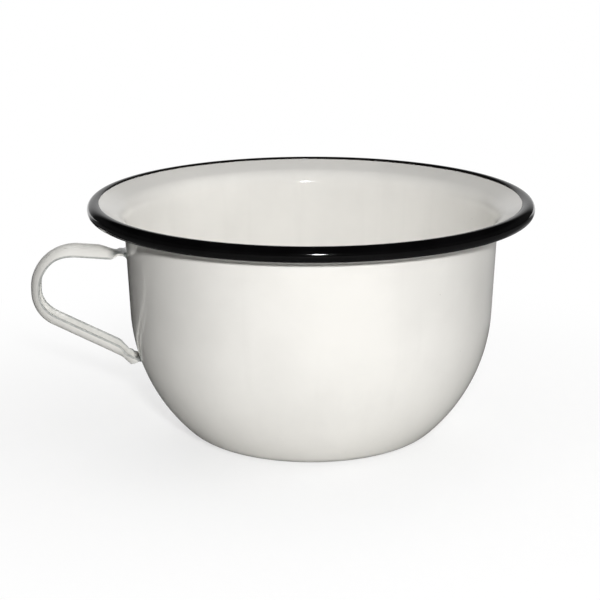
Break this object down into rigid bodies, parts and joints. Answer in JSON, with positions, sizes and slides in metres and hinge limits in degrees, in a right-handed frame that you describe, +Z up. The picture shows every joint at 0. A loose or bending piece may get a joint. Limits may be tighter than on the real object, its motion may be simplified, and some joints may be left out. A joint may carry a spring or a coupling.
{
  "type": "chamber pot",
  "caption": "Round enamelled sheet-steel pot with a bowl-shaped wall, a flared brim with a black rolled edge, a flat base and a strap handle on one side.",
  "frame": {"origin": "on the pot's axis, at the flat underside of the base", "axes": "+Z up along the pot's axis; the handle points along -X"},
  "size_m": [0.2715, 0.24, 0.13],
  "materials": {
    "white_enamel": "glossy vitreous enamel on steel",
    "black_enamel": "glossy vitreous enamel on steel",
    "weld_steel": "weld under the enamel"
  },
  "bodies": {
    "root": {"pot_body": "white_enamel", "rim_edging": "black_enamel", "handle": "white_enamel", "upper_weld_top": "weld_steel", "upper_weld_under": "weld_steel", "lower_weld_front": "weld_steel", "lower_weld_back": "weld_steel"}
  },
  "joints": []
}
